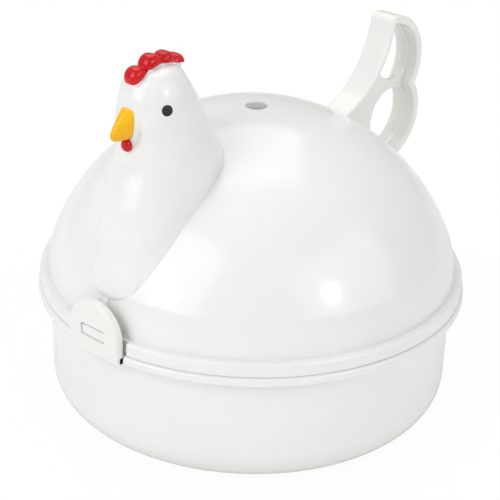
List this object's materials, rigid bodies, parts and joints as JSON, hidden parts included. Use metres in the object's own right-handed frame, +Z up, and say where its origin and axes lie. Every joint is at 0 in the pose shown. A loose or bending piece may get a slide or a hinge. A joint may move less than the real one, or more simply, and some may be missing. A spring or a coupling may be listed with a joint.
{
  "type": "microwave egg cooker",
  "caption": "Hen-shaped microwave egg cooker: white bowl with a metal egg tray, lift-off domed lid with a hen's head, steam vent and looped tail handle, and two hinged latches.",
  "frame": {"origin": "on the bowl's axis at the surface it stands on, which is the flat pad in the middle of its underside", "axes": "+Z up along the bowl's axis; -Y towards the hen's face and the front latch, +Y towards the tail handle; +X to the hen's left"},
  "size_m": [0.1566, 0.1725, 0.1424],
  "materials": {
    "white_plastic": "warm white moulded plastic, glossy",
    "aluminium": "pressed sheet, satin",
    "red_plastic": "glossy",
    "yellow_plastic": "glossy",
    "black_plastic": "satin",
    "steel": "plain"
  },
  "bodies": {
    "base": {"base_bowl": "white_plastic", "egg_tray": "aluminium"},
    "lid": {"lid_dome": "white_plastic", "lid_liner": "aluminium", "head_shell": "white_plastic", "comb": "red_plastic", "beak": "yellow_plastic", "wattle": "red_plastic", "left_eye": "black_plastic", "right_eye": "black_plastic", "tail_handle": "white_plastic", "head_screws": "steel", "tail_screws": "steel"},
    "front_latch": {"front_latch": "white_plastic"},
    "rear_latch": {"rear_latch": "white_plastic"}
  },
  "joints": [
    {"name": "lid_lift", "type": "slide", "parent": "base", "child": "lid", "axis": [0, 0, 1], "range_m": [0, 0.12]},
    {"name": "front_latch_swing", "type": "hinge", "parent": "base", "child": "front_latch", "pos_m": [0, -0.0753, 0.0436], "axis": [1, 0, 0], "range_deg": [0, 80]},
    {"name": "rear_latch_swing", "type": "hinge", "parent": "base", "child": "rear_latch", "pos_m": [0, 0.0753, 0.0436], "axis": [-1, 0, 0], "range_deg": [0, 80]}
  ]
}
